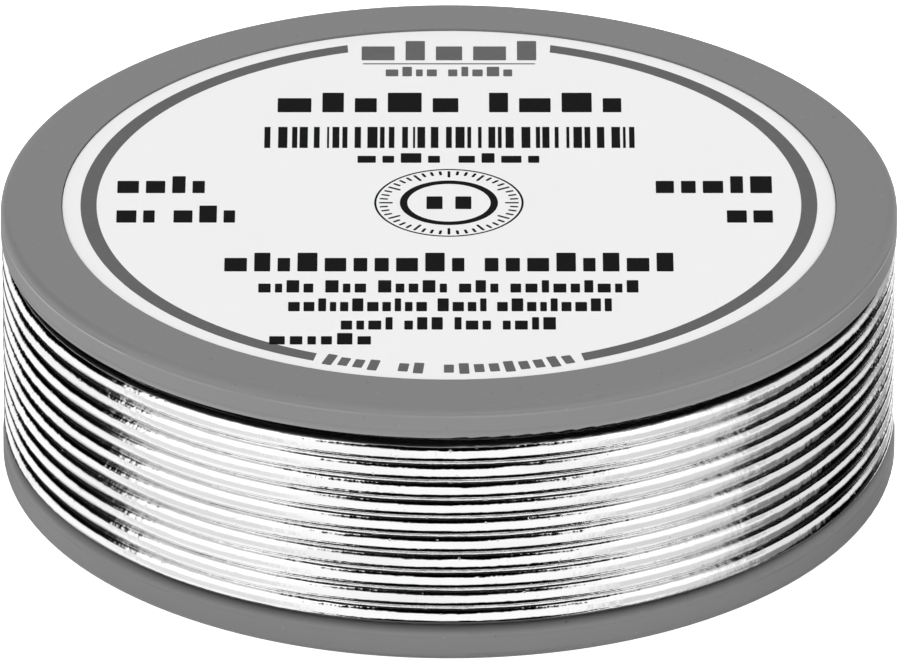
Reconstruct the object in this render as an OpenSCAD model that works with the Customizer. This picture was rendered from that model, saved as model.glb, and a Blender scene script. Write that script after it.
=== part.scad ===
// Solder wire reel: two identical moulded halves pegged together, a paper label in the
// upper recess, and solder wire wound in layers between the flanges.
// Millimetres. +Z is up the reel's axis and the origin is the centre of the base face.

/* [Reel halves] */
// Diameter of the flanges
flange_d = 84; // [72:1:120]
// Height of the assembled reel, over both flanges
reel_h = 26.4; // [22:0.2:40]
// Thickness of a flange at its rim
rim_t = 3.45; // [2.8:0.05:5]
// Radius that rounds both edges of a rim
rim_round = 0.85; // [0.3:0.05:1.2]
// Thickness of the end disc that closes a half
disc_t = 2; // [1.2:0.1:3]
// Wall of the barrel that the wire is wound on
barrel_wall = 1.6; // [1:0.1:3]

/* [Hub] */
// Diameter of the spindle bore
bore_d = 16; // [8:0.5:24]
// Wall of the hub tube
hub_wall = 2; // [1.2:0.1:4]
// Chamfer at the mouth of the bore
bore_chamfer = 0.5; // [0.2:0.1:1]

/* [Ribs, posts and pegs] */
// Pairs of ribs, each pair with one peg and one socket
rib_pairs = 3; // [2:1:4]
// Thickness of a rib
rib_t = 1.2; // [0.8:0.1:2]
// Height of a rib above the end disc
rib_h = 6; // [2:0.5:8]
// Diameter of the circle that the posts stand on
post_circle_d = 48; // [40:1:52]
// Diameter of a post
post_d = 6.4; // [5.5:0.1:8]
// Diameter of a peg
peg_d = 3.2; // [2:0.1:4]
// Length of a peg above the joint between the halves
peg_l = 4; // [2:0.5:6]
// Radial clearance of a peg in its socket
peg_clearance = 0.05; // [0.02:0.01:0.15]
// Room left under the tip of a peg
peg_tip_room = 0.5; // [0.2:0.1:1]

/* [Solder wire] */
// Diameter of the solder wire
wire_d = 1.87; // [1.6:0.01:2.4]
// Axial play between neighbouring turns
turn_play = 0.01; // [0:0.01:0.1]
// Number of layers wound on the barrel
layers = 2; // [2:1:5]
// How far the outer layer lies inside the rim
rim_flush = 0.1; // [0.05:0.05:2]
// Angle at the back over which each turn steps up to the next
step_span = 150; // [90:5:160]
// Axial play between the end turns and the flanges
end_play = 0.02; // [0.02:0.01:0.2]

/* [Wire anchor] */
// Angle from a rib to the slot that the first end of the wire is tucked through
slot_angle = 15; // [12:1:20]
// Length of the slot round the barrel
slot_l = 5; // [4:0.5:8]
// Clearance of the wire in the slot
slot_clearance = 0.3; // [0.1:0.05:0.5]
// Height of the slot's centre above the flange
slot_rise = 1.7; // [1.6:0.1:3]
// Length of the wire's end that lies inside the barrel
tail_l = 6; // [3:0.5:8]

/* [Label] */
// Width of bare plastic between the label and the rim
label_margin = 5.8; // [4:0.1:12]
// Thickness of the label
label_t = 0.2; // [0.1:0.05:0.4]
// Clearance round the label in its recess
label_clearance = 0.1; // [0.05:0.05:0.5]
// How far the face of the label lies below the rim
label_sink = 0.2; // [0.05:0.05:0.3]

/* [Hidden] */
$fn = 96;

reel_grey = [0.52, 0.52, 0.52];
solder_silver = [0.86, 0.87, 0.88];
label_white = [0.94, 0.94, 0.93];
eps = 0.01; // overshoot of a cutter past the face that it opens

// Reel halves
flange_r = flange_d / 2;
half_h = reel_h / 2;
recess_depth = label_t + label_sink;
label_r = flange_r - label_margin;
recess_r = label_r + label_clearance;
disc_top = recess_depth + disc_t;
bore_r = bore_d / 2;
hub_r = bore_r + hub_wall;
rib_count = 2 * rib_pairs;
rib_step = 360 / rib_count;
post_circle_r = post_circle_d / 2;
peg_root = 1; // length of a peg that is sunk in its post
over = 1; // overshoot of a cutter past a wall that it goes through

// Outer layer. The modelled turns are drawn a little thinner than the wire, so that
// each turn stays clear of the next.
pitch = wire_d + turn_play;
layer_r = flange_r - rim_flush - wire_d / 2;
layer_settling = 0.93; // a crossed layer settles a little into the one below
layer_step = layer_settling * wire_d;
first_turn_z = rim_t + end_play + wire_d / 2;
top_z = reel_h - first_turn_z;
front_turns = floor((top_z - first_turn_z) / pitch) + 1;
last_turn_z = first_turn_z + (front_turns - 1) * pitch;
turn_clearance = 0.42;
tube_sides = 6;
rings_per_turn = 24;
tube_r = (pitch - turn_clearance) / (2 * cos(180 / tube_sides));
tube_d = 2 * tube_r;

// Barrel and the layers below
seat_gap = 0.05; // between the wound wire and what it lies on
barrel_r = layer_r - (layers - 1) * layer_step - wire_d / 2;
barrel_inner_r = barrel_r - barrel_wall;
core_inner_r = barrel_r + seat_gap;
core_outer_r = layer_r * cos(180 / rings_per_turn) - tube_r - seat_gap;

// Where an end of the outer layer dives through the layers below
dive_foot_r = barrel_r + seat_gap / 2;
dive_bend_r = layer_step + wire_d / 2 - seat_gap / 2 - tube_d;
dive_straight = layer_r - dive_foot_r - dive_bend_r;
dive_clearance = 0.15;
dive_notch_r = tube_r + dive_clearance;
dive_angle = atan(dive_bend_r / layer_r);
dive_steps = 4;

// The turns lie parallel over the front. The first begins where a step would end, and
// the last ends where its step meets the upper flange.
start_azimuth = 90 + step_span / 2;
step_azimuth = 360 + 90 - step_span / 2;
end_azimuth = step_azimuth + 360 * (front_turns - 1)
    + step_span * (top_z - last_turn_z) / pitch;

// Wire anchor
slot_azimuth = 1.5 * rib_step + slot_angle;
slot_z = rim_t + slot_rise;
slot_r = wire_d / 2 + slot_clearance;
tail_start_r = core_inner_r - seat_gap / 2;
tail_straight = barrel_wall + tube_d;
tail_bend_r = 1.5;
tail_bend_steps = 8;

// ---------------------------------------------------------------- tube along a path

function unit(v) = v / norm(v);

// Direction of the path at its point i, averaged over the two neighbours.
function heading(path, i) =
    unit(path[min(i + 1, len(path) - 1)] - path[max(i - 1, 0)]);

// One ring of the tube. Two of its sides lie square to Z, so neighbouring turns face
// each other with flats.
function ring(path, i, r, sides) =
    let (
        along = heading(path, i),
        side = unit(cross([0, 0, 1], along)),
        up = cross(along, side)
    )
    [for (k = [0:sides - 1])
        path[i] + r * (cos(360 * k / sides) * side + sin(360 * k / sides) * up)];

function tube_points(path, r, sides) =
    [for (i = [0:len(path) - 1]) each ring(path, i, r, sides)];

function tube_faces(rings, sides) = concat(
    [for (k = [1:sides - 2]) [0, k + 1, k]],
    [for (i = [0:rings - 2], k = [0:sides - 1])
        each let (
            a = i * sides + k,
            b = i * sides + (k + 1) % sides
        )
        [[a, b, b + sides], [a, b + sides, a + sides]]],
    [for (k = [1:sides - 2], last = (rings - 1) * sides) [last, last + k, last + k + 1]]
);

module tube(path, r, sides) {
    polyhedron(
        points = tube_points(path, r, sides),
        faces = tube_faces(len(path), sides)
    );
}

// ---------------------------------------------------------------- outer layer

function radial(azimuth) = [cos(azimuth), sin(azimuth), 0];
function tangent(azimuth) = [-sin(azimuth), cos(azimuth), 0];

// Straight out from the barrel, then a quarter bend into the turns, at the start (dir 1)
// or, read backwards, at the end (dir -1).
function dive(azimuth, z, dir) = concat(
    [dive_foot_r * radial(azimuth) + [0, 0, z]],
    [for (s = [0:dive_steps - 1])
        let (bend = 90 * s / dive_steps)
        (dive_foot_r + dive_straight + dive_bend_r * sin(bend)) * radial(azimuth)
            + dir * dive_bend_r * (1 - cos(bend)) * tangent(azimuth)
            + [0, 0, z]]
);

function reversed(list) = [for (i = [len(list) - 1:-1:0]) list[i]];

// Height of the outer layer at an azimuth that counts on from turn to turn: level, and
// then one pitch higher over each step.
function turn_z(azimuth) =
    let (
        past = max(azimuth - step_azimuth, 0),
        done = floor(past / 360)
    )
    first_turn_z + pitch * (done + min((past - 360 * done) / step_span, 1));

// Rings stand at the same azimuths in every turn, with one more at each end.
ring_step = 360 / rings_per_turn;
first_ring = start_azimuth + dive_angle;
last_ring = end_azimuth - dive_angle;
turn_path = [
    for (azimuth = concat(
        [first_ring],
        [for (k = [ceil(first_ring / ring_step):floor(last_ring / ring_step)]) k * ring_step],
        [last_ring]
    ))
    layer_r * radial(azimuth) + [0, 0, turn_z(azimuth)]];

outer_layer_path = concat(
    dive(start_azimuth, first_turn_z, 1),
    turn_path,
    reversed(dive(end_azimuth, top_z, -1))
);

// Least distance between the points of rings that lie one turn apart, and of the rings
// next to those.
function least_gap(points, sides, apart) =
    min([for (
        i = [0:sides:len(points) - (apart + 2) * sides],
        shift = [-1:1],
        a = [0:sides - 1],
        b = [0:sides - 1]
    )
    norm(points[i + a] - points[i + (apart + shift) * sides + b])]);

echo(str(  // wire_outer_layer
        "outer layer: ", (end_azimuth - start_azimuth) / 360, " turns, least gap to itself ",
        least_gap(tube_points(turn_path, tube_r, tube_sides), tube_sides, rings_per_turn),
        " mm"
    ));

module wire_outer_layer() {
    color(solder_silver) tube(outer_layer_path, tube_r, tube_sides);
}

// ---------------------------------------------------------------- inner layers

// A U-shaped notch from the end face of the core, where the wire dives through it.
module dive_notch(azimuth, z, end_z) {
    reach = core_outer_r - core_inner_r + 2 * over;
    rotate([0, 0, azimuth]) {
        translate([core_inner_r - over, 0, z]) rotate([0, 90, 0])
            cylinder(r = dive_notch_r, h = reach, $fn = 48);
        translate([core_inner_r - over, -dive_notch_r, min(z, end_z)])
            cube([reach, 2 * dive_notch_r, abs(end_z - z)]);
    }
}

module wire_inner_layer() {
    color(solder_silver) difference() {
        translate([0, 0, rim_t + seat_gap])
            cylinder(r = core_outer_r, h = reel_h - 2 * (rim_t + seat_gap));
        cylinder(r = core_inner_r, h = reel_h);
        dive_notch(start_azimuth, first_turn_z, rim_t);
        dive_notch(end_azimuth, top_z, reel_h - rim_t);
    }
}

// ---------------------------------------------------------------- wire anchor

tail_path = concat(
    [tail_start_r * radial(slot_azimuth) + [0, 0, slot_z]],
    [for (s = [0:tail_bend_steps])
        let (bend = 90 * s / tail_bend_steps)
        (tail_start_r - tail_straight - tail_bend_r * sin(bend)) * radial(slot_azimuth)
            + tail_bend_r * (1 - cos(bend)) * tangent(slot_azimuth)
            + [0, 0, slot_z]],
    [(tail_start_r - tail_straight - tail_bend_r) * radial(slot_azimuth)
        + (tail_bend_r + tail_l) * tangent(slot_azimuth)
        + [0, 0, slot_z]]
);

module wire_start_tail() {
    color(solder_silver) tube(tail_path, tube_r, tube_sides);
}

// ---------------------------------------------------------------- reel halves

// Section of a rim: a bar from the recess to the flange's edge with rounded outer edges.
module rim_section() {
    round_x = flange_r - rim_round;
    translate([barrel_inner_r, 0]) square([round_x - barrel_inner_r, rim_t]);
    translate([round_x - eps, rim_round])
        square([rim_round + eps, rim_t - 2 * rim_round]);
    for (y = [rim_round, rim_t - rim_round])
        translate([round_x, y]) circle(r = rim_round);
}

module rim() {
    rotate_extrude($fn = 180) rim_section();
}

// Barrel wall from the flange up to the joint, with the slot for the wire's first end.
module barrel() {
    difference() {
        cylinder(r = barrel_r, h = half_h, $fn = 180);
        translate([0, 0, -eps])
            cylinder(r = barrel_inner_r, h = half_h + 2 * eps, $fn = 180);
        rotate([0, 0, slot_azimuth]) anchor_slot();
    }
}

module anchor_slot() {
    reach = barrel_wall + 2 * over;
    half_run = slot_l / 2 - slot_r;
    for (y = [-half_run, half_run])
        translate([barrel_inner_r - over, y, slot_z]) rotate([0, 90, 0])
            cylinder(r = slot_r, h = reach, $fn = 48);
    translate([barrel_inner_r - over, -half_run, slot_z - slot_r])
        cube([reach, 2 * half_run, 2 * slot_r]);
}

module ribs() {
    for (k = [0:rib_count - 1])
        rotate([0, 0, (k + 0.5) * rib_step])
            translate([bore_r + hub_wall / 2, -rib_t / 2, disc_top - eps])
                cube([barrel_inner_r - bore_r - hub_wall / 2 + barrel_wall / 2,
                    rib_t, rib_h + eps]);
}

module at_post(k) {
    rotate([0, 0, (k + 0.5) * rib_step]) translate([post_circle_r, 0, 0]) children();
}

module posts() {
    for (k = [0:rib_count - 1])
        at_post(k) translate([0, 0, disc_top - eps])
            cylinder(d = post_d, h = half_h - disc_top + eps, $fn = 48);
}

// A peg stands on every other post, and its tip is tapered to find the socket.
module pegs() {
    taper = peg_d / 4;
    for (k = [0:2:rib_count - 1])
        at_post(k) {
            translate([0, 0, half_h - peg_root])
                cylinder(d = peg_d, h = peg_root + peg_l - taper, $fn = 48);
            translate([0, 0, half_h + peg_l - taper])
                cylinder(d1 = peg_d, d2 = peg_d - taper, h = taper, $fn = 48);
        }
}

module sockets() {
    for (k = [1:2:rib_count - 1])
        at_post(k) translate([0, 0, half_h - peg_l - peg_tip_room])
            cylinder(r = peg_d / 2 + peg_clearance, h = peg_l + peg_tip_room + eps,
                $fn = 48);
}

module bore_cutter() {
    translate([0, 0, -eps]) cylinder(r = bore_r, h = half_h + 2 * eps);
    translate([0, 0, recess_depth - eps])
        cylinder(r1 = bore_r + bore_chamfer + eps, r2 = bore_r, h = bore_chamfer + eps);
}

// One moulding makes both halves. Turned over, its pegs meet the sockets of the other.
module reel_half() {
    color(reel_grey) difference() {
        union() {
            rim();
            cylinder(r = barrel_inner_r + barrel_wall / 2, h = disc_top, $fn = 180);
            barrel();
            cylinder(r = hub_r, h = half_h);
            ribs();
            posts();
            pegs();
        }
        translate([0, 0, -eps]) cylinder(r = recess_r, h = recess_depth + eps, $fn = 180);
        bore_cutter();
        sockets();
    }
}

module lower_reel_half() {
    reel_half();
}

module upper_reel_half() {
    translate([0, 0, reel_h]) rotate([180, 0, 0]) reel_half();
}

// ---------------------------------------------------------------- label

module paper_label() {
    color(label_white) translate([0, 0, reel_h - recess_depth])
        cylinder(r = label_r, h = label_t, $fn = 180);
}

lower_reel_half();
upper_reel_half();
wire_inner_layer();
wire_outer_layer();
wire_start_tail();
paper_label();
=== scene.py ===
"""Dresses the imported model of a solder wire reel: winds the wire at its full thickness,
prints the label, gives every surface its finish and sets a plain studio round it."""

import math

import bpy
import numpy as np
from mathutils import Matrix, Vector


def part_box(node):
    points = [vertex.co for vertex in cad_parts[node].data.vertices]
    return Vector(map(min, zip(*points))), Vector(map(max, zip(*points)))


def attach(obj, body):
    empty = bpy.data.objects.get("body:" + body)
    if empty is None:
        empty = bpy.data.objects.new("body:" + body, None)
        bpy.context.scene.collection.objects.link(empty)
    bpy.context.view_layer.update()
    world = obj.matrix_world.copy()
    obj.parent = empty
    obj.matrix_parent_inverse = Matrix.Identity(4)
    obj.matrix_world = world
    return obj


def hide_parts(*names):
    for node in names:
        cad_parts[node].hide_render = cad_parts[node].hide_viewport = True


bl_info = {
    "name": "Solder Wire Reel",
    "version": (1, 0, 0),
    "blender": (4, 5, 0),
    "location": "View3D > Sidebar > Solder Reel",
    "description": "Winds the wire, prints the label and finishes a reel of solder wire",
    "category": "Add Mesh",
}

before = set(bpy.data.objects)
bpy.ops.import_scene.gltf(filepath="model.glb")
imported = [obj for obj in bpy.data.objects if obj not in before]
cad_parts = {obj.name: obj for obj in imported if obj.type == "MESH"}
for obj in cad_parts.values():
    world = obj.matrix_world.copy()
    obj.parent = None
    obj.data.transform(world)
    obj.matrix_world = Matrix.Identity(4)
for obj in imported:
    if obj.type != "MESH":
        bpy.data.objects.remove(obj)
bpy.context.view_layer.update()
MM = 0.001
BODY = "root"
FLANGE_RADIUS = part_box("upper_reel_half")[1].x
REEL_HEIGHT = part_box("upper_reel_half")[1].z
LABEL_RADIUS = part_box("paper_label")[1].x
LABEL_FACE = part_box("paper_label")[1].z
TRACE = "along_the_wire"  # attribute: place along the straightened wire, and across it


# ------------------------------------------------------------------ settings in the panel


def length(name, description, millimetres):
    """A property for a length, with its default given in millimetres."""
    return bpy.props.FloatProperty(
        name=name, description=description, default=millimetres * MM, unit="LENGTH", precision=5
    )


def angle(name, description, degrees):
    """A property for an angle, with its default given in degrees."""
    return bpy.props.FloatProperty(
        name=name, description=description, default=math.radians(degrees), unit="ROTATION"
    )


def share(name, description, value, highest=1.0):
    """A property for a plain factor, from 0 to its highest value."""
    return bpy.props.FloatProperty(
        name=name, description=description, default=value, min=0.0, max=highest, subtype="FACTOR"
    )


def tone(name, description, value):
    """A property for a neutral colour of the given brightness."""
    return bpy.props.FloatVectorProperty(
        name=name, description=description, default=(value,) * 3, size=3, subtype="COLOR",
        min=0.0, max=1.0,
    )


class WindingSettings(bpy.types.PropertyGroup):
    """Sizes of the wire and of its two layers."""

    wire: length("Wire", "Diameter of the solder wire", 1.87)
    play: length("Play", "Axial play between neighbouring turns", 0.01)
    rim: length("Rim", "Thickness of a flange at its rim", 3.45)
    end_play: length("End play", "Play between the end turns and the flanges", 0.02)
    flush: length("Flush", "How far the outer layer lies inside the rim", 0.1)
    barrel: length("Barrel", "Radius of the barrel under the wire", 38.256)
    settling: share("Settling", "Step between the layers, as a share of the wire", 0.93)
    step: angle("Step", "Angle at the back over which a turn steps up to the next", 150)
    slot: angle("Slot", "Azimuth of the slot that the first end goes through", 105)
    slot_rise: length("Slot rise", "Height of the slot above the flange", 1.7)
    tail: length("Tail", "Length of the first end inside the barrel", 6.0)
    sides: bpy.props.IntProperty(
        name="Sides", description="Sides of the round wire", default=32, min=12, max=48
    )


class LabelSettings(bpy.types.PropertyGroup):
    """Sizes and tones of the printed label."""

    ink: length("Ink", "Thickness of the printed ink", 0.012)
    arc_inner: length("Arc inner radius", "Inner radius of the two border arcs", 33.0)
    arc_outer: length("Arc outer radius", "Outer radius of the two border arcs", 34.5)
    gap_above: angle("Gap above", "Half of the gap between the arcs at the top", 16.5)
    gap_below: angle("Gap below", "Half of the gap between the arcs at the foot", 21.5)
    dial: length("Dial radius", "Radius of the plain dial in the middle", 7.0)
    paper: tone("Paper", "Colour of the label paper", 0.92)
    black: tone("Black ink", "Colour of the black print", 0.002)
    grey: tone("Grey ink", "Colour of the grey print", 0.132)


class FinishSettings(bpy.types.PropertyGroup):
    """Colours and gloss of the moulding and the wire."""

    plastic: tone("Plastic", "Colour of the moulded reel", 0.198)
    plastic_roughness: share("Plastic roughness", "Roughness of the moulded reel", 0.5)
    metal: tone("Solder", "Colour of the bright wire", 0.74)
    metal_roughness: share("Solder roughness", "Roughness of the bright wire", 0.07)


class StageSettings(bpy.types.PropertyGroup):
    """The camera and the light round the reel."""

    elevation: angle("Elevation", "How far the camera looks down", 27.3)
    distance: length("Distance", "Distance from the camera to the reel", 1800)
    width: length("Width", "Width of what the camera sees at the reel", 84.47)
    aim_right: length("Aim right", "How far right of the axis the camera aims", 0.054)
    aim_down: length("Aim down", "How far below the reel's middle the camera aims", 0.541)
    aim_height: length("Aim height", "Height of the point that the aim is counted from", 13.4)
    crevice: share("Crevice", "Share of the studio's light that two mirrorings leave", 0.02)
    floor_glow: share("Floor glow", "Light that the floor gives of its own", 0.62)
    glint: share("Glint", "Share of the studio's light that three or more leave", 1.8, 10)


# The cards and softboxes of the studio, in degrees: azimuth from the front (to the right is
# positive), elevation, lean of the upright edges (how far they move aside for each degree
# of height above the foot), radiance and softness. Later cards stand before earlier ones.
CARDS = (
    # azimuth     elevation    lean  radiance soft
    (-180, 180, -90, 90, 0.0, 1.24, 1.5),  # pale room all round
    (-88, -40, -40, 8, 0.0, 0.98, 8),  # side wall, left
    (37, 80, -42, 12, 0.0, 0.88, 8),  # side wall, right
    (74, 116, -66, -42, 0.0, 0.65, 8),
    (-140, -112, -62, -36, 0.0, 0.52, 9),  # dim corner, low left
    (-176, -143, -40, -19, 0.0, 0.03, 5),  # dark gap, low left
    (86, 180, 4, 62, 0.0, 0.97, 8),  # pale screen, right
    (134, 180, -4, 62, 0.0, 0.55, 5),  # its far edge
    (-32, 32, 38, 130, 0.0, 0.0, 5),  # dark front, seen over the camera
    (-13, 12, 33, 130, 0.0, 0.0, 1.5),  # its foot
    (-40, 40, 46, 130, 0.0, 0.0, 2.5),
    (-86, -40, 12, 82, 0.0, 1.45, 3),  # softbox, left
    (-90, -60, 16, 82, -0.3, 1.45, 4),
    (-158, -85, 12, 56, -0.5, 0.0, 5),  # dark card, back left
    (42, 74, 19, 82, 0.35, 1.45, 4),  # softbox, right
    (77, 83, 19, 56, 0.75, 0.72, 3),  # its frame
    (78, 116, -42, 6, 0.0, 0.26, 9),  # dim edge of the low dark card
    (107, 142, -52, 7, -0.1, 0.0, 7),  # dark card, low right
    (128, 154, -54, -13, 0.0, 0.03, 5),
    (-180, 180, -95, -72, 0.0, 0.0, 6),  # the reel's own shade below
    (-48, 24, -95, -54, 0.0, 0.0, 4),
    (20, 60, -95, -52, 0.0, 0.0, 5),
)
BACK_CARD = (105, 48, 88, 1.4, 3)  # azimuth, elevations, radiance and softness of the
# softbox over the back
# Azimuths, in degrees, at which light that two turns of the wire have mirrored still meets
# a softbox or the back wall
LIT_CREVICES = ((-88, -42), (44, 76), (-180, -158), (162, 180))
LIT_SOFT = 5  # softness of their edges, in degrees
GLINT_FADE = (50, 70)  # azimuths, in degrees, over which the front's glints fade out


def winding():
    return bpy.context.scene.reel_winding


def labelling():
    return bpy.context.scene.reel_label


def finishes():
    return bpy.context.scene.reel_finish


def staging():
    return bpy.context.scene.reel_stage


# ------------------------------------------------------------------ modelling helpers


def radial(azimuth, radius=1.0, height=0.0):
    return Vector((math.cos(azimuth) * radius, math.sin(azimuth) * radius, height))


def tangent(azimuth):
    return Vector((-math.sin(azimuth), math.cos(azimuth), 0))


def deselect_objects():
    bpy.ops.object.select_all(action="DESELECT")


def named(name):
    """Names the new active object, and puts its place into its mesh."""
    piece = bpy.context.object
    piece.name = name
    piece.data.name = name
    bpy.ops.object.transform_apply(location=True, rotation=True, scale=True)
    return piece


def edit(piece):
    bpy.context.view_layer.objects.active = piece
    bpy.ops.object.mode_set(mode="EDIT")
    bpy.ops.mesh.select_all(action="DESELECT")


def leave_edit():
    bpy.ops.object.mode_set(mode="OBJECT")


def select(piece, kind, test):
    """In edit mode, selects the vertices, edges or faces whose centre passes the test."""
    bpy.ops.mesh.select_mode(type={"vertices": "VERT", "edges": "EDGE", "polygons": "FACE"}[kind])
    bpy.ops.mesh.select_all(action="DESELECT")
    leave_edit()
    mesh = piece.data
    for item in getattr(mesh, kind):
        if kind == "edges":
            centre = (mesh.vertices[item.vertices[0]].co + mesh.vertices[item.vertices[1]].co) / 2
        else:
            centre = item.co if kind == "vertices" else item.center
        item.select = test(centre)
    bpy.ops.object.mode_set(mode="EDIT")


def select_open_end(piece, point, reach):
    """In edit mode, selects the open rim of a tube, or a bare outline, near a point."""
    bpy.ops.mesh.select_mode(type="EDGE")
    bpy.ops.mesh.select_all(action="DESELECT")
    leave_edit()
    mesh = piece.data
    walls = dict.fromkeys(mesh.edge_keys, 0)
    for face in mesh.polygons:
        for key in face.edge_keys:
            walls[key] += 1
    for edge in mesh.edges:
        ends = [mesh.vertices[index].co for index in edge.vertices]
        close = all((end - point).length < reach for end in ends)
        edge.select = close and walls[edge.key] < 2
    bpy.ops.object.mode_set(mode="EDIT")


def spin(angle, centre, steps):
    """In edit mode, sweeps the selection anticlockwise by an angle round an upright axis."""
    bpy.ops.mesh.spin(steps=steps, angle=-angle, center=centre, axis=(0, 0, 1))


def apply_modifier(piece, kind, **settings):
    modifier = piece.modifiers.new(kind.lower(), kind)
    for name, value in settings.items():
        setattr(modifier, name, value)
    bpy.context.view_layer.objects.active = piece
    bpy.ops.object.modifier_apply(modifier=modifier.name)


def close_up(piece):
    """Merges doubled points and turns every face outwards."""
    edit(piece)
    bpy.ops.mesh.select_all(action="SELECT")
    bpy.ops.mesh.remove_doubles(threshold=1e-7)
    bpy.ops.mesh.normals_make_consistent(inside=False)
    leave_edit()


def finished(piece, material, replaced=()):
    """Gives a piece its material and its body, and hides the parts that it stands for."""
    piece.data.materials.clear()
    piece.data.materials.append(material)
    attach(piece, BODY)
    if replaced:
        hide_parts(*replaced)
    deselect_objects()
    return piece


# ------------------------------------------------------------------ shader helpers


class Value:
    """A node's output that Python arithmetic works on: each operation adds a Math node."""

    def __init__(self, nodes, output):
        self.nodes = nodes
        self.output = output

    def maths(self, operation, *values):
        return self.nodes.add("ShaderNodeMath", {"operation": operation}, dict(enumerate(values)))

    def __add__(self, other):
        return self.maths("ADD", self, other)

    def __sub__(self, other):
        return self.maths("SUBTRACT", self, other)

    def __rsub__(self, other):
        return self.maths("SUBTRACT", other, self)

    def __mul__(self, other):
        return self.maths("MULTIPLY", self, other)

    def __abs__(self):
        return self.maths("ABSOLUTE", self)

    def smallest(self, other):
        return self.maths("MINIMUM", self, other)

    def largest(self, other):
        return self.maths("MAXIMUM", self, other)

    __radd__ = __add__
    __rmul__ = __mul__


class Nodes:
    """The node tree of a material or of the world."""

    def __init__(self, owner):
        owner.use_nodes = True
        self.tree = owner.node_tree
        self.tree.nodes.clear()

    def add(self, kind, settings=None, inputs=None, output=0):
        """Adds a node: its settings come first, then the values or links of its sockets."""
        node = self.tree.nodes.new(kind)
        for name, value in (settings or {}).items():
            setattr(node, name, value)
        for name, value in (inputs or {}).items():
            if isinstance(value, Value):
                self.tree.links.new(value.output, node.inputs[name])
            else:
                node.inputs[name].default_value = value
        return Value(self, node.outputs[output])

    def noise(self, vector, scale, detail=2.0, roughness=0.5):
        return self.add(
            "ShaderNodeTexNoise",
            inputs={"Vector": vector, "Scale": scale, "Detail": detail, "Roughness": roughness},
        )

    def stretched(self, vector, scale):
        """The coordinates, stretched by a scale along each axis."""
        return self.add("ShaderNodeMapping", inputs={"Vector": vector, "Scale": scale})

    def ramp(self, value, low, high, start=0.0, end=1.0):
        """Start below low, end above high, and a smooth rise between."""
        return self.add(
            "ShaderNodeMapRange",
            {"interpolation_type": "SMOOTHSTEP"},
            {"Value": value, "From Min": low, "From Max": high, "To Min": start, "To Max": end},
        )

    def band(self, value, low, high, soft):
        """1 between low and high, and 0 outside, with soft edges."""
        rise = self.ramp(value, low - soft, low + soft)
        return rise * self.ramp(value, high - soft, high + soft, 1.0, 0.0)

    def blend(self, factor, first, second):
        """A colour between two others."""
        return self.add(
            "ShaderNodeMix", {"data_type": "RGBA"}, {0: factor, 6: first, 7: second}, output=2
        )

    def bump(self, height, distance, strength=1.0, below=None):
        inputs = {"Height": height, "Distance": distance, "Strength": strength}
        if below:
            inputs["Normal"] = below
        return self.add("ShaderNodeBump", inputs=inputs)


def opaque(colour, factor=1.0):
    return (*(c * factor for c in colour), 1.0)


def new_material(name, constants):
    """A material with a Principled surface, whose even values are set on its own sockets."""
    material = bpy.data.materials.new(name)
    nodes = Nodes(material)
    surface = nodes.tree.nodes.new("ShaderNodeBsdfPrincipled")
    output = nodes.tree.nodes.new("ShaderNodeOutputMaterial")
    nodes.tree.links.new(surface.outputs[0], output.inputs[0])
    for socket, value in constants.items():
        surface.inputs[socket].default_value = value

    def link(socket, value):
        nodes.tree.links.new(value.output, surface.inputs[socket])

    return material, nodes, link


# ------------------------------------------------------------------ finishes


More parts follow.
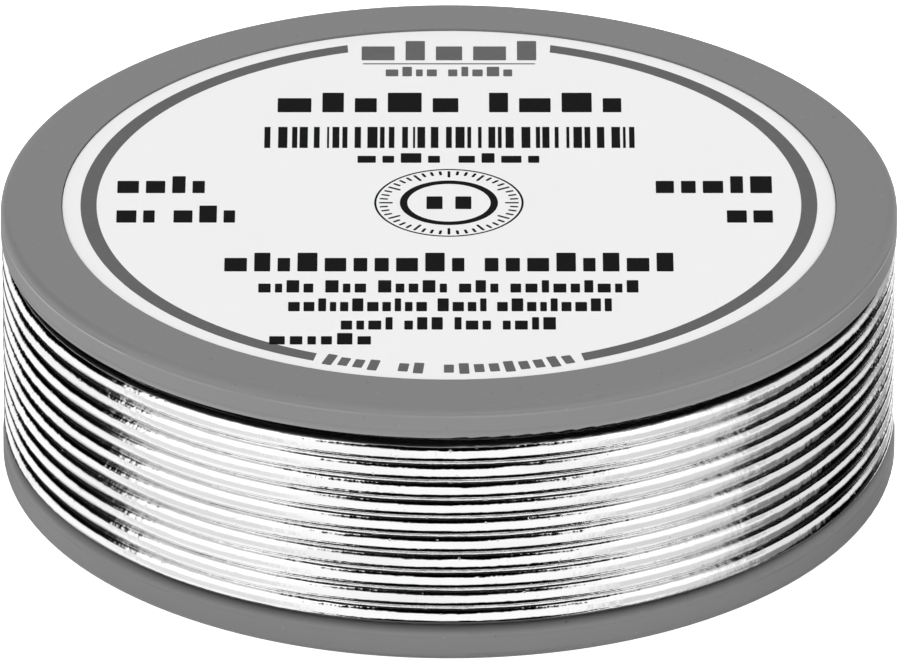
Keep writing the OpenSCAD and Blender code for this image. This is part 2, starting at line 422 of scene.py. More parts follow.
def moulded_plastic():
    """Satin grey moulding: fine mould grain, faint scuffs round the rim, the mould's lines
    and a little dust. Painted highlight lightens the upper rim's lower edge over the wire and
    the mould's raised line; painted shade darkens the dip beside that line and the foot of the
    winding, more at the front; painted shadow blackens the gap over the winding."""
    f = finishes()
    material, nodes, link = new_material("moulded_grey_plastic", {"IOR": 1.47})
    place = nodes.add("ShaderNodeTexCoord", output="Object")
    height = nodes.add("ShaderNodeSeparateXYZ", inputs={0: place}, output="Z")
    behind = nodes.add("ShaderNodeSeparateXYZ", inputs={0: place}, output="Y")
    from_face = abs(height - REEL_HEIGHT / 2) * -1 + REEL_HEIGHT / 2
    mottle = nodes.noise(place, 55, 3)
    grain = nodes.noise(place, 3200, 2)
    scuffs = nodes.noise(nodes.stretched(place, (70, 70, 2600)), 1.0, 3, 0.6)
    from_front = nodes.ramp(behind, -38 * MM, -24 * MM, 0.3, 1.0)
    broken = nodes.ramp(nodes.noise(place, 120, 2), 0.3, 0.62, 0.25, 1.0) * from_front
    dust = nodes.ramp(nodes.noise(place, 2600, 1), 0.76, 0.8)
    specks = nodes.ramp(nodes.noise(place, 1500, 1), 0.76, 0.79)
    depth = REEL_HEIGHT - height
    # The mould's raised line round the upper rim: its relief is real, and its paler colour is a
    # painted highlight
    flash_line_and_highlight = nodes.band(depth, FLASH_LINE - LINE_HALF, FLASH_LINE + LINE_HALF, LINE_HALF)
    # A dip beside that line: its relief is real, and its darker colour is painted shade
    groove_relief_and_shade = nodes.band(depth, FLASH_LINE - 4 * LINE_HALF, FLASH_LINE - 2 * LINE_HALF, LINE_HALF)
    witness = nodes.band(
        from_face, WITNESS_LINE - LINE_HALF, WITNESS_LINE + LINE_HALF, LINE_HALF
    )
    rim = winding().rim
    edge = REEL_HEIGHT - rim
    # Painted highlight: the upper rim's lower edge, where it meets the wire, is painted paler,
    # with a little scuffing in it
    painted_edge_highlight = nodes.ramp(height, edge, edge + 0.8 * MM, 1.0, 0.0)
    painted_edge_highlight = painted_edge_highlight * nodes.ramp(height, edge - 0.5 * MM, edge)
    # Painted shadow: the underside of the upper flange, over the winding, is painted nearly black
    painted_gap_shadow = nodes.band(height, REEL_HEIGHT / 2, edge + 0.12 * MM, 0.1 * MM)
    # Painted shade at the foot of the winding, on the lower rim's upper edge, stronger at the
    # front
    painted_foot_shade = nodes.band(height, rim - 0.35 * MM, rim + 0.6 * MM, 0.4 * MM)
    painted_foot_shade = painted_foot_shade * nodes.ramp(behind, -36 * MM, -24 * MM, 0.8, 0.35)
    light = mottle * 0.08 + grain * 0.05 + scuffs * 0.05 + dust * 0.4 + flash_line_and_highlight * broken * 0.8
    light = light + painted_edge_highlight * (0.45 + scuffs * 0.2)
    dark = witness * broken * 0.3 + groove_relief_and_shade * broken * 0.4 + specks * 0.4
    dark = (dark + painted_foot_shade * (0.9 + mottle * 0.3)).smallest(1)
    colour = nodes.blend(light, opaque(f.plastic, 0.92), opaque(f.plastic, 1.75))
    colour = nodes.blend(dark, colour, opaque(f.plastic, 0.4))
    link("Base Color", nodes.blend(painted_gap_shadow, colour, opaque(f.plastic, 0.08)))
    link("Roughness", f.plastic_roughness - 0.06 + mottle * 0.08 + scuffs * 0.06)
    relief = grain * 0.3 + scuffs * 0.4 + dust * 0.5 - specks * 0.5
    moulded = nodes.bump(flash_line_and_highlight * broken * 0.3 - groove_relief_and_shade * 0.3 - witness * 0.4, 0.04 * MM)
    link("Normal", nodes.bump(relief, 0.012 * MM, 0.8, below=moulded))
    return material


FLASH_LINE = 0.95 * MM  # from the upper flange's face to the mould's flash line
WITNESS_LINE = 2.5 * MM  # from either flange's outer face to the mould's witness line
LINE_HALF = 0.08 * MM  # half the width of a line


def label_paper():
    """Smooth coated paper: faint fibres and clouding, and a darker ring along its edge."""
    l = labelling()
    material, nodes, link = new_material("coated_label_paper", {"IOR": 1.4})
    place = nodes.add("ShaderNodeTexCoord", output="Object")
    flat = nodes.stretched(place, (1, 1, 0))
    from_axis = nodes.add("ShaderNodeVectorMath", {"operation": "LENGTH"}, {0: flat}, "Value")
    cloud = nodes.noise(place, 90, 3)
    fibre = nodes.noise(nodes.stretched(place, (1500, 3600, 1500)), 1.0, 3, 0.65)
    # Darker towards the label's edge
    cut = nodes.ramp(from_axis, LABEL_RADIUS - 0.22 * MM, LABEL_RADIUS - 0.02 * MM)
    shade = cloud * 0.12 + fibre * 0.12 + cut * 0.4
    link("Base Color", nodes.blend(shade, opaque(l.paper, 1.03), opaque(l.paper, 0.86)))
    link("Roughness", 0.56 + fibre * 0.12)
    link("Normal", nodes.bump(fibre + cloud * 0.5, 0.006 * MM, 0.5))
    return material


def printing_ink(name, colour):
    """Dense ink that lets a little of the paper's fibre show."""
    material, nodes, link = new_material(name, {"IOR": 1.2, "Specular IOR Level": 0.2})
    place = nodes.add("ShaderNodeTexCoord", output="Object")
    fibre = nodes.noise(nodes.stretched(place, (1500, 3600, 1500)), 1.0, 3, 0.65)
    cloud = nodes.noise(place, 240, 2)
    link(
        "Base Color",
        nodes.blend(fibre * 0.6 + cloud * 0.4, opaque(colour, 0.8), opaque(colour, 1.25)),
    )
    link("Roughness", 0.5 + fibre * 0.15)
    link("Normal", nodes.bump(fibre, 0.004 * MM, 0.5))
    return material


def bright_solder():
    """Bright drawn wire: die lines along it, chatter marks in patches, slow waves where it
    was wound, tiny nicks and a thin dull film here and there."""
    f = finishes()
    material, nodes, link = new_material("bright_solder_wire", {"Metallic": 1.0})
    trace = nodes.add("ShaderNodeAttribute", {"attribute_name": TRACE}, output="Vector")
    lines = nodes.noise(nodes.stretched(trace, (60, 7000, 7000)), 1.0, 2, 0.6)
    waves = nodes.noise(nodes.stretched(trace, (70, 120, 120)), 1.0, 2)
    chatter = nodes.noise(nodes.stretched(trace, (850, 700, 700)), 1.0, 2, 0.5)
    patches = nodes.ramp(nodes.noise(nodes.stretched(trace, (110, 500, 500)), 1.0, 2), 0.4, 0.65)
    film = nodes.ramp(nodes.noise(nodes.stretched(trace, (60, 500, 500)), 1.0, 3), 0.45, 0.7)
    nicks = nodes.ramp(nodes.noise(trace, 1700, 1), 0.72, 0.77)
    shade = film * 0.25 + lines * 0.2 + nicks * 0.2
    link("Base Color", nodes.blend(shade, opaque(f.metal, 1.08), opaque(f.metal, 0.8)))
    link("Roughness", f.metal_roughness + film * 0.05 + lines * 0.03)
    fine = nodes.bump(chatter * (0.45 + patches * 0.55), 0.085 * MM)
    finer = nodes.bump(lines * 0.15 - nicks, 0.012 * MM, below=fine)
    link("Normal", nodes.bump(waves, 0.1 * MM, below=finer))
    return material


def stage_floor():
    """Pale even matt floor, seen as plain white, with less glow near the reel's foot."""
    material, nodes, link = new_material(
        "pale_floor",
        {"Roughness": 1.0, "Specular IOR Level": 0.0, "Emission Strength": 1.0},
    )
    place = nodes.add("ShaderNodeTexCoord", output="Object")
    cloud = nodes.noise(place, 6, 2)
    glow = staging().floor_glow
    away = nodes.add("ShaderNodeVectorMath", {"operation": "LENGTH"}, {0: place}, "Value")
    far = nodes.ramp(away, FLANGE_RADIUS, FLANGE_RADIUS * 1.6, 0.15, 1.0)
    glowing = nodes.blend(far, (0, 0, 0, 1), (glow, glow, glow, 1))
    seen = nodes.add("ShaderNodeLightPath", output="Is Camera Ray")
    link("Base Color", nodes.blend(cloud, (0.86, 0.86, 0.86, 1), (0.9, 0.9, 0.9, 1)))
    link("Emission Color", nodes.blend(seen, glowing, (1, 1, 1, 1)))
    return material


# ------------------------------------------------------------------ the wire


class Winding:
    """Where the wire runs, worked out from the winding settings."""

    def __init__(self):
        w = winding()
        self.radius = w.wire / 2
        self.pitch = w.wire + w.play
        self.layer_radius = FLANGE_RADIUS - w.flush - self.radius
        self.inner_radius = self.layer_radius - w.settling * w.wire
        self.first_z = w.rim + w.end_play + self.radius
        self.top_z = REEL_HEIGHT - self.first_z
        self.turns = math.floor((self.top_z - self.first_z) / self.pitch) + 1
        self.last_z = self.first_z + (self.turns - 1) * self.pitch
        self.start = math.pi / 2 + w.step / 2
        self.step_start = math.pi / 2 - w.step / 2
        self.end = self.step_start + w.step * (self.top_z - self.last_z) / self.pitch
        self.bend = self.radius * BEND_RADIUS

    def bend_angle(self, layer_radius):
        """The angle that the quarter bend at an end of a layer takes up."""
        return math.atan(self.bend / layer_radius)

    def outer_z(self, azimuth):
        """Height of the outer layer at azimuths that count on from the first turn."""
        past = np.maximum(azimuth - self.step_start - 2 * math.pi, 0)
        done = np.floor(past / (2 * math.pi))
        part = np.minimum((past - done * 2 * math.pi) / winding().step, 1)
        return self.first_z + self.pitch * (done + part)


def wire_section(name, azimuth, radius, height, sides):
    """A round section of the wire, standing upright on the layer."""
    deselect_objects()
    bpy.ops.mesh.primitive_circle_add(
        vertices=sides,
        radius=winding().wire / 2,
        location=radial(azimuth, radius, height),
        rotation=(math.pi / 2, 0, azimuth),
    )
    return named(name)


def bend_inwards(piece, azimuth, radius, height, turn, foot):
    """From the open end of the wire at an azimuth, a quarter bend towards the axis, and a
    straight run to the radius where it meets the barrel. Closes the end."""
    route = Winding()
    select_open_end(piece, radial(azimuth, radius, height), route.radius * NEAR)
    spin(turn * math.pi / 2, radial(azimuth, radius - route.bend, height), BEND_RINGS)
    leg = radius - route.bend - foot
    bpy.ops.mesh.extrude_region_move(
        TRANSFORM_OT_translate={"value": radial(azimuth, -leg)}
    )
    bpy.ops.mesh.edge_face_add()


def trace_wire(piece, height_at, layer_radius, turns):
    """Stores where each point lies along the straightened wire, and across it."""
    count = len(piece.data.vertices)
    place = np.empty(count * 3)
    piece.data.vertices.foreach_get("co", place)
    place = place.reshape(-1, 3)
    around = np.arctan2(place[:, 1], place[:, 0])
    options = around[:, None] + 2 * math.pi * np.arange(-1, turns + 3)[None, :]
    miss = np.abs(place[:, 2][:, None] - height_at(options))
    chosen = options[np.arange(count), miss.argmin(1)]
    out = np.hypot(place[:, 0], place[:, 1]) - layer_radius
    up = place[:, 2] - height_at(chosen)
    traced = np.stack([chosen * layer_radius, out, up], 1).astype(np.float32)
    attribute = piece.data.attributes.new(TRACE, "FLOAT_VECTOR", "POINT")
    attribute.data.foreach_set("vector", traced.ravel())


def wind_outer_layer():
    """One step up and one level run are modelled, and repeated for each turn. The spare
    step at the end is cut where it meets the upper flange."""
    w = winding()
    route = Winding()
    full = 2 * math.pi
    piece = wire_section(
        "outer_wire_layer", route.step_start, route.layer_radius, route.first_z, w.sides
    )
    apply_modifier(
        piece, "SCREW", axis="Z", angle=w.step, screw_offset=route.pitch,
        steps=STEP_RINGS, render_steps=STEP_RINGS, use_merge_vertices=False,
    )
    edit(piece)
    first = radial(route.step_start, route.layer_radius, route.first_z)
    select_open_end(piece, first, route.radius * NEAR)
    spin(w.step - full, (0, 0, 0), LEVEL_RINGS)
    leave_edit()
    apply_modifier(
        piece, "ARRAY", count=route.turns, use_relative_offset=False,
        use_constant_offset=True, constant_offset_displace=(0, 0, route.pitch),
        use_merge_vertices=True, merge_threshold=1e-6,
    )

    def in_last_step(centre):
        azimuth = math.atan2(centre.y, centre.x)
        risen = route.pitch * (azimuth - route.step_start) / w.step
        within = route.step_start - SLIVER < azimuth < route.start + SLIVER
        return within and centre.z > route.last_z + risen - route.pitch / 2

    def at_first_level(centre):
        azimuth = math.atan2(centre.y, centre.x)
        within = route.start - SLIVER < azimuth < route.start + FIRST_STRETCH
        return within and centre.z < route.first_z + route.pitch / 2

    edit(piece)
    bend_angle = route.bend_angle(route.layer_radius)
    for test, azimuth, side in (
        (in_last_step, route.end - bend_angle, {"clear_outer": True}),
        (at_first_level, route.start + bend_angle, {"clear_inner": True}),
    ):
        select(piece, "polygons", test)
        bpy.ops.mesh.bisect(
            plane_co=radial(azimuth, route.layer_radius), plane_no=tangent(azimuth), **side
        )
    cut_height = float(route.outer_z(np.array(route.end - bend_angle + full * route.turns)))
    bend_inwards(
        piece, route.end - bend_angle, route.layer_radius, cut_height, 1, w.barrel + SEAT
    )
    bend_inwards(
        piece, route.start + bend_angle, route.layer_radius, route.first_z, -1,
        w.barrel + SEAT,
    )
    leave_edit()
    close_up(piece)
    bpy.ops.object.shade_smooth()
    trace_wire(piece, route.outer_z, route.layer_radius, route.turns)
    return piece


NEAR = 1.2  # reach, in wire radii, that takes in one open end
BEND_RADIUS = 1.04  # radius of a bend towards the barrel, in wire radii
BEND_RINGS = 12  # rings over a quarter bend
LEG_ROOM = 1.03  # room that the layer below leaves beside the outer layer's last leg
SLIVER = 0.01  # angle, in radians, that takes in faces right at an end
FIRST_STRETCH = 0.3  # angle, in radians, of the first turn that is cut to length
SEAT = 0.03 * MM  # gap between the barrel and the wire's ends that run up to it
STEP_RINGS = 75  # rings of the wire over one step up
LEVEL_RINGS = 105  # rings over the level rest of a turn
INNER_RINGS = 120  # rings over one turn of the layer below
INNER_TURNS = 9  # whole turns of the layer below, besides the part from slot to end


def wind_inner_layer():
    """The layer below runs down from the outer layer's upper end to the barrel's slot."""
    w = winding()
    route = Winding()
    leg_angle = math.asin(route.radius / route.inner_radius) * LEG_ROOM
    top = route.end + leg_angle
    foot = w.slot - route.bend_angle(route.inner_radius)
    sweep = foot - top + 2 * math.pi * INNER_TURNS
    slot_z = w.rim + w.slot_rise
    piece = wire_section("inner_wire_layer", top, route.inner_radius, route.top_z, w.sides // 2)
    edit(piece)
    bpy.ops.mesh.select_all(action="SELECT")
    leave_edit()
    rings = round(INNER_RINGS * sweep / (2 * math.pi))
    apply_modifier(
        piece, "SCREW", axis="Z", angle=sweep, screw_offset=slot_z - route.top_z,
        steps=rings, render_steps=rings, use_merge_vertices=False,
    )
    edit(piece)
    select_open_end(
        piece, radial(top, route.inner_radius, route.top_z), route.radius * NEAR
    )
    bpy.ops.mesh.edge_face_add()
    bend_inwards(piece, foot, route.inner_radius, slot_z, 1, w.barrel + SEAT)
    leave_edit()
    close_up(piece)
    bpy.ops.object.shade_smooth()

    def height_at(azimuth):
        return route.top_z + (slot_z - route.top_z) * (azimuth - top) / sweep

    trace_wire(piece, height_at, route.inner_radius, INNER_TURNS)
    return piece


END_STRAIGHT = 3.284 * MM  # run of the first end through the barrel's wall
END_BEND = 1.5 * MM  # radius of its bend inside the barrel


def tuck_first_end():
    """The first end of the wire runs in through the slot, bends and lies in the barrel."""
    w = winding()
    route = Winding()
    slot_z = w.rim + w.slot_rise
    begin = w.barrel + 0.025 * MM
    straight = END_STRAIGHT
    bend = END_BEND
    deselect_objects()
    bpy.ops.mesh.primitive_circle_add(
        vertices=w.sides // 2,
        radius=route.radius,
        location=radial(w.slot, begin, slot_z),
        rotation=(math.pi / 2, 0, w.slot + math.pi / 2),
        fill_type="NGON",
    )
    piece = named("first_wire_end")
    edit(piece)
    bpy.ops.mesh.select_all(action="SELECT")
    bpy.ops.mesh.extrude_region_move(
        TRANSFORM_OT_translate={"value": radial(w.slot, -straight)}
    )
    turned = begin - straight
    centre = radial(w.slot, turned, slot_z) + tangent(w.slot) * bend
    spin(-math.pi / 2, centre, BEND_RINGS)
    bpy.ops.mesh.extrude_region_move(
        TRANSFORM_OT_translate={"value": tangent(w.slot) * w.tail}
    )
    leave_edit()
    close_up(piece)
    bpy.ops.object.shade_smooth_by_angle(angle=math.radians(40))
    trace_wire(piece, lambda azimuth: slot_z + azimuth * 0, begin, 0)
    return piece


# ------------------------------------------------------------------ the label's print


def word_blocks(words, left, right, low, high, rhythm):
    """Plain blocks in place of words: (x, y, width, height) in millimetres. Words are
    numbers of blocks, and the rhythm sets how the blocks' widths and heights vary."""
    places, x = [], 0
    for at, count in enumerate(words):
        for k in range(count):
            turn = rhythm * (5 * at + k + 1)
            wide = 1 + 0.3 * math.sin(turn)
            places.append((x + wide / 2, wide, math.cos(1.7 * turn) > 0.45))
            x += wide + BLOCK_GAP
        x += WORD_GAP
    unit = (right - left) / (x - WORD_GAP - BLOCK_GAP)
    blocks = []
    for middle, wide, tall in places:
        height = (high - low) * (1 if tall else LOW_BLOCK)
        blocks.append((left + middle * unit, low + height / 2, wide * unit, height))
    return blocks


BLOCK_GAP = 0.42  # gap between the blocks of a word, as a share of a block's width
WORD_GAP = 0.75  # gap between words, beyond the gap between blocks
LOW_BLOCK = 0.72  # height of a low block, as a share of the row
CORNER = 0.11 * MM  # radius of the blocks' corners


def bar_strip(left, right, low, high, bars):
    """A strip of plain upright bars whose widths follow a simple wave."""
    widths = [0.6 + 0.25 * math.sin(2.3 * k) + 0.18 * math.sin(0.9 * k) for k in range(bars)]
    gaps = [0.5 + 0.28 * math.cos(1.7 * k) for k in range(bars - 1)]
    unit = (right - left) / (sum(widths) + sum(gaps))
    blocks, x = [], left
    for k, wide in enumerate(widths):
        blocks.append((x + wide * unit / 2, (low + high) / 2, wide * unit, high - low))
        x += (wide + (gaps[k] if k < bars - 1 else 0)) * unit
    return blocks


# Rows of the black print: words, left, right, low, high and rhythm
BLACK_ROWS = (
    ((5, 4), -16.2, 16.3, 18.9, 23.0, 1.9),
    ((4, 4), -8.6, 8.5, 8.3, 10.3, 2.6),
    ((4,), -31.1, -22.9, 2.0, 5.5, 1.3),
    ((2, 3), -31.1, -20.0, -4.1, -0.6, 2.2),
    ((5,), 19.4, 30.3, 2.0, 5.5, 2.9),
    ((2,), 26.0, 30.3, -4.1, -0.6, 1.1),
    ((10, 8), -20.9, 20.9, -14.1, -10.3, 1.7),
    ((4, 3, 5, 3, 9), -17.7, 17.6, -18.4, -15.9, 2.4),
    ((11, 4, 9), -14.9, 15.1, -22.2, -19.6, 1.2),
    ((4, 3, 3, 4), -10.0, 9.9, -25.9, -23.4, 2.7),
    ((6,), -16.6, -7.2, -28.9, -26.6, 1.5),
)
# Rows of the grey print
GREY_ROWS = (
    ((5,), -8.3, 8.3, 29.9, 34.0, 2.1),
    ((4, 5), -6.0, 6.0, 26.5, 28.5, 1.6),
)


def add_block(x, y, wide, tall, turn=0.0):
    """In edit mode, adds one plain block of ink on the paper, sized in millimetres."""
    ink = labelling().ink
    bpy.ops.mesh.primitive_cube_add(
        size=1,
        location=(x * MM, y * MM, LABEL_FACE),
        rotation=(0, 0, turn),
        scale=(wide * MM, tall * MM, 2 * ink),
    )


def new_print(name):
    """An empty piece of print, open in edit mode."""
    deselect_objects()
    bpy.ops.mesh.primitive_plane_add(size=MM, location=(0, 0, LABEL_FACE))
    piece = named(name)
    edit(piece)
    bpy.ops.mesh.select_all(action="SELECT")
    bpy.ops.mesh.delete(type="VERT")
    return piece


def round_corners(piece, radius):
    """In edit mode, rounds the upright edges of the blocks."""

    def upright(edge):
        a, b = (piece.data.vertices[i].co for i in edge.vertices)
        return abs(a.z - b.z) > 1e-6

    bpy.ops.mesh.select_mode(type="EDGE")
    bpy.ops.mesh.select_all(action="DESELECT")
    leave_edit()
    for edge in piece.data.edges:
        edge.select = upright(edge)
    bpy.ops.object.mode_set(mode="EDIT")
    bpy.ops.mesh.bevel(offset=radius, segments=3, affect="EDGES")


def print_black():
    """The black rows, the strip of bars, and the dial's ticks and centre."""
    piece = new_print("black_print")
    for row in BLACK_ROWS:
        for block in word_blocks(*row):
            add_block(*block)
    dial = labelling().dial / MM
    ticks = 48
    for k in range(ticks):
        turn = 2 * math.pi * k / ticks
        long = 1.3 if k % 4 == 0 else 0.8
        reach = dial - 0.45 - long / 2
        add_block(reach * math.cos(turn), reach * math.sin(turn), long, 0.26, turn)
    for x in (-1.35, 1.35):
        add_block(x, 0, 1.5, 2.6)
    round_corners(piece, CORNER)
    for block in bar_strip(-17.4, 17.5, 11.4, 15.8, 34):
        add_block(*block)
    leave_edit()
    close_up(piece)
    return piece


def flat_ring(name, inner, outer, start, sweep, steps):
    """A flat band of ink round the axis, from a start angle over a sweep."""
    ink = labelling().ink
    deselect_objects()
    bpy.ops.mesh.primitive_plane_add(
        size=1,
        location=radial(start, (inner + outer) / 2, LABEL_FACE),
        rotation=(math.pi / 2, 0, start),
    )
    bpy.context.object.scale = (outer - inner, 2 * ink, 1)
    piece = named(name)
    edit(piece)
    bpy.ops.mesh.select_all(action="SELECT")
    if sweep > 2 * math.pi - 0.001:
        bpy.ops.mesh.delete(type="ONLY_FACE")
        bpy.ops.mesh.select_all(action="SELECT")
    spin(sweep, (0, 0, 0), steps)
    leave_edit()
    close_up(piece)
    return piece


def cut_arc(piece, test, co, normal):
    """Cuts the end of an arc with a plane, and closes the cut."""
    edit(piece)
    select(piece, "polygons", test)
    bpy.ops.mesh.bisect(plane_co=co, plane_no=normal, clear_inner=True, use_fill=True)
    leave_edit()


def border_arc(side):
    """One of the two border arcs. Its ends are cut upright above and aslant below."""
    l = labelling()
    spare = math.radians(5)
    begin = -math.pi / 2 + l.gap_below - spare
    sweep = math.pi - l.gap_below - l.gap_above + 2 * spare
    piece = flat_ring("border_arc", l.arc_inner, l.arc_outer, begin, sweep, 96)
    middle = (l.arc_inner + l.arc_outer) / 2
    slant = math.radians(14)
    ends = (
        (lambda c: c.y > 0, l.gap_above, 0.0, 1),
        (lambda c: c.y < 0, l.gap_below, slant, -1),
    )
    for test, gap, lean, end in ends:
        at = Vector((middle * math.sin(gap), end * middle * math.cos(gap), LABEL_FACE))
        cut_arc(piece, test, at, (math.cos(lean), math.sin(lean), 0))
    if side < 0:
        edit(piece)
        bpy.ops.mesh.select_all(action="SELECT")
        bpy.ops.transform.resize(value=(-1, 1, 1), center_override=(0, 0, 0))
        leave_edit()
    close_up(piece)
    return piece


def print_grey():
    """The grey rows, a thin rule and the row of blocks that follows the lower edge."""
    piece = new_print("grey_print")
    for row in GREY_ROWS:
        for block in word_blocks(*row):
            add_block(*block)
    add_block(0, 29.15, 16.4, 0.22)
    blocks = 17
    word_gaps = (4, 7)
    reach = 33.75
    for k in range(blocks):
        if k in word_gaps:
            continue
        turn = -math.pi / 2 + math.radians(19.0) * (2 * k / (blocks - 1) - 1)
        tall = 2.1 if math.cos(2.1 * k) > 0 else 1.6
        add_block(reach * math.cos(turn), reach * math.sin(turn), tall, 0.92, turn)
    round_corners(piece, CORNER)
    leave_edit()
    close_up(piece)
    return piece


def joined(pieces, name):
    """Joins pieces into the first one."""
    deselect_objects()
    for piece in pieces:
        piece.select_set(True)
    bpy.context.view_layer.objects.active = pieces[0]
    bpy.ops.object.join()
    pieces[0].name = name
    pieces[0].data.name = name
    return pieces[0]


# ------------------------------------------------------------------ the stage


def card_mask(nodes, around, up, card):
    """1 where a direction meets a card, from the card's azimuths, elevations and lean."""
    left, right, low, high = (math.radians(value) for value in card[:4])
    lean = card[4]
    soft = math.radians(card[6])
    mask = nodes.band(up, low, high, soft)
    if right - left < 2 * math.pi - 0.01:
        leaning = around - (up - low) * lean if lean else around
        mask = mask * nodes.band(leaning, left, right, soft)
    return mask


def studio_world():
    """A studio of pale walls, softboxes and dark cards, and plain white for the camera. It
    is darker for light that two turns of the wire have mirrored, as in a dull crevice, and
    over the front it is brighter for light mirrored more often, as in a glint."""
    s = staging()
    world = bpy.data.worlds.new("studio")
    bpy.context.scene.world = world
    nodes = Nodes(world)
    direction = nodes.add("ShaderNodeTexCoord", output="Generated")
    east, north, rise = (
        nodes.add("ShaderNodeSeparateXYZ", inputs={0: direction}, output=axis)
        for axis in "XYZ"
    )
    up = rise.maths("ARCSINE", rise)
    around = east.maths("ARCTAN2", east, north * -1)
    mirrored = 0 * up + CARDS[0][5]
    for card in CARDS[1:]:
        mask = card_mask(nodes, around, up, card)
        mirrored = mirrored + mask * (card[5] - mirrored)
    begin, low, high, radiance, soft = BACK_CARD
    begin, low, high, soft = (math.radians(value) for value in (begin, low, high, soft))
    mask = nodes.band(up, low, high, soft) * nodes.ramp(abs(around), begin - soft, begin + soft)
    mirrored = mirrored + mask * (radiance - mirrored)
    bounces = nodes.add("ShaderNodeLightPath", output="Glossy Depth")
    twice = 1 - abs(bounces - 2).smallest(1)
    more = (bounces - 2).largest(0).smallest(1)
    dark = 1 + 0 * up
    for left, right in LIT_CREVICES:
        edges = (math.radians(value) for value in (left, right, LIT_SOFT))
        dark = dark * (1 - nodes.band(around, *edges))
    front = nodes.ramp(abs(around), *(math.radians(value) for value in GLINT_FADE), 1.0, 0.0)
    several = front * s.glint + (1 - front) * (1 + dark * (s.crevice - 1))
    light = mirrored * (1 + twice * dark * (s.crevice - 1) + more * (several - 1))
    seen = nodes.add("ShaderNodeLightPath", output="Is Camera Ray")
    shown = light + seen * (1 - light)
    background = nodes.add(
        "ShaderNodeBackground", inputs={"Color": (1, 1, 1, 1), "Strength": shown}
    )
    output = nodes.tree.nodes.new("ShaderNodeOutputWorld")
    nodes.tree.links.new(background.output, output.inputs["Surface"])


def stage_camera():
    """A camera with a long lens, at the viewing angle, with the reel filling its width."""
    s = staging()
    deselect_objects()
    bpy.ops.object.camera_add()
    camera = bpy.context.object
    camera.name = "camera"
    camera.data.sensor_width = 36
    camera.data.lens = camera.data.sensor_width * s.distance / s.width
    back = Vector((0, -math.cos(s.elevation), math.sin(s.elevation)))
    up = Vector((0, math.sin(s.elevation), math.cos(s.elevation)))
    aim = Vector((s.aim_right, 0, s.aim_height)) - up * s.aim_down
    camera.location = aim + back * s.distance
    camera.rotation_euler = (-back).to_track_quat("-Z", "Y").to_euler()
    camera.data.clip_end = 100
    bpy.context.scene.camera = camera


def stage_floor_plane():
    deselect_objects()
    bpy.ops.mesh.primitive_plane_add(size=40, location=(0, 0, -0.02 * MM))
    floor = named("floor")
    floor.data.materials.append(stage_floor())
    floor.visible_glossy = False


# ------------------------------------------------------------------ operators


class REEL_OT_wind_outer(bpy.types.Operator):
    """Winds the outer layer of bright wire, turn by turn"""

    bl_idname = "reel.wind_outer"
    bl_label = "Wind Outer Layer"

    def execute(self, context):
        piece = wind_outer_layer()
        finished(piece, bright_solder(), ["wire_outer_layer"])
        return {"FINISHED"}


class REEL_OT_wind_inner(bpy.types.Operator):
    """Winds the layer below and tucks the wire's first end into the barrel"""

    bl_idname = "reel.wind_inner"
    bl_label = "Wind Inner Layer"

    def execute(self, context):
        solder = bpy.data.materials["bright_solder_wire"]
        finished(wind_inner_layer(), solder, ["wire_inner_layer"])
        finished(tuck_first_end(), solder, ["wire_start_tail"])
        return {"FINISHED"}


class REEL_OT_print_label(bpy.types.Operator):
    """Prints the label with plain blocks, bars, a dial and two border arcs"""

    bl_idname = "reel.print_label"
    bl_label = "Print Label"

    def execute(self, context):
        l = labelling()
        full = 2 * math.pi
        black = printing_ink("black_ink", l.black)
        grey = printing_ink("grey_ink", l.grey)
        rings = [
            flat_ring("dial_ring", l.dial - 0.2 * MM, l.dial, 0, full, 96),
            flat_ring("dial_ring", 3.9 * MM, 4.6 * MM, 0, full, 72),
        ]
        blacks = joined([print_black(), *rings], "black_print")
        greys = joined([print_grey(), border_arc(1), border_arc(-1)], "grey_print")
        finished(blacks, black)
        finished(greys, grey)
        return {"FINISHED"}


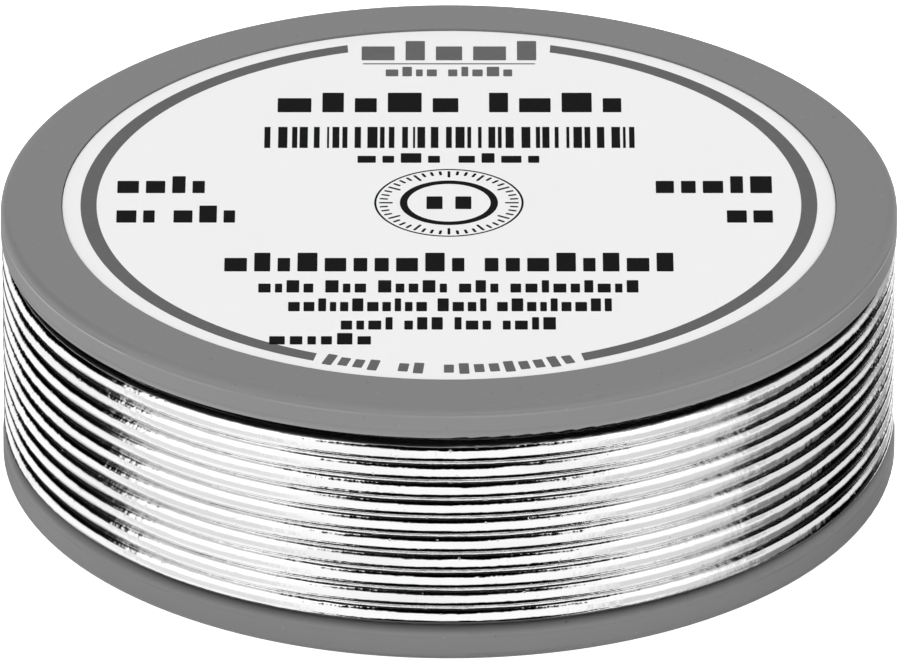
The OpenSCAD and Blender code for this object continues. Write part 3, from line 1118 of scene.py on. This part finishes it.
class REEL_OT_finish_surfaces(bpy.types.Operator):
    """Gives the moulded halves and the label paper their finish"""

    bl_idname = "reel.finish_surfaces"
    bl_label = "Finish Surfaces"

    def execute(self, context):
        plastic = moulded_plastic()
        for node in ("lower_reel_half", "upper_reel_half"):
            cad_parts[node].data.materials.clear()
            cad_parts[node].data.materials.append(plastic)
        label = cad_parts["paper_label"]
        label.data.materials.clear()
        label.data.materials.append(label_paper())
        return {"FINISHED"}


class REEL_OT_set_stage(bpy.types.Operator):
    """Sets the floor, the light and the camera"""

    bl_idname = "reel.set_stage"
    bl_label = "Set Stage"

    def execute(self, context):
        stage_floor_plane()
        studio_world()
        stage_camera()
        context.scene.view_settings.view_transform = "Standard"
        context.scene.view_settings.look = "None"
        return {"FINISHED"}


OPERATORS = (
    REEL_OT_set_stage,
    REEL_OT_finish_surfaces,
    REEL_OT_wind_outer,
    REEL_OT_wind_inner,
    REEL_OT_print_label,
)
SETTINGS = {
    "reel_winding": WindingSettings,
    "reel_label": LabelSettings,
    "reel_finish": FinishSettings,
    "reel_stage": StageSettings,
}


class REEL_PT_panel(bpy.types.Panel):
    """Lists the reel's settings and steps"""

    bl_idname = "REEL_PT_panel"
    bl_label = "Solder Reel"
    bl_space_type = "VIEW_3D"
    bl_region_type = "UI"
    bl_category = "Solder Reel"

    def draw(self, context):
        for operator in OPERATORS:
            self.layout.operator(operator.bl_idname)
        for name, group in SETTINGS.items():
            box = self.layout.box()
            for setting in group.__annotations__:
                box.prop(getattr(context.scene, name), setting)


def register():
    for group in SETTINGS.values():
        bpy.utils.register_class(group)
    for kind in (*OPERATORS, REEL_PT_panel):
        bpy.utils.register_class(kind)
    for name, group in SETTINGS.items():
        setattr(bpy.types.Scene, name, bpy.props.PointerProperty(type=group))


def unregister():
    for name in SETTINGS:
        delattr(bpy.types.Scene, name)
    for kind in (REEL_PT_panel, *reversed(OPERATORS), *SETTINGS.values()):
        bpy.utils.unregister_class(kind)


def main():
    register()
    for operator in OPERATORS:
        group, name = operator.bl_idname.split(".")
        getattr(getattr(bpy.ops, group), name)()


if __name__ == "__main__":
    main()
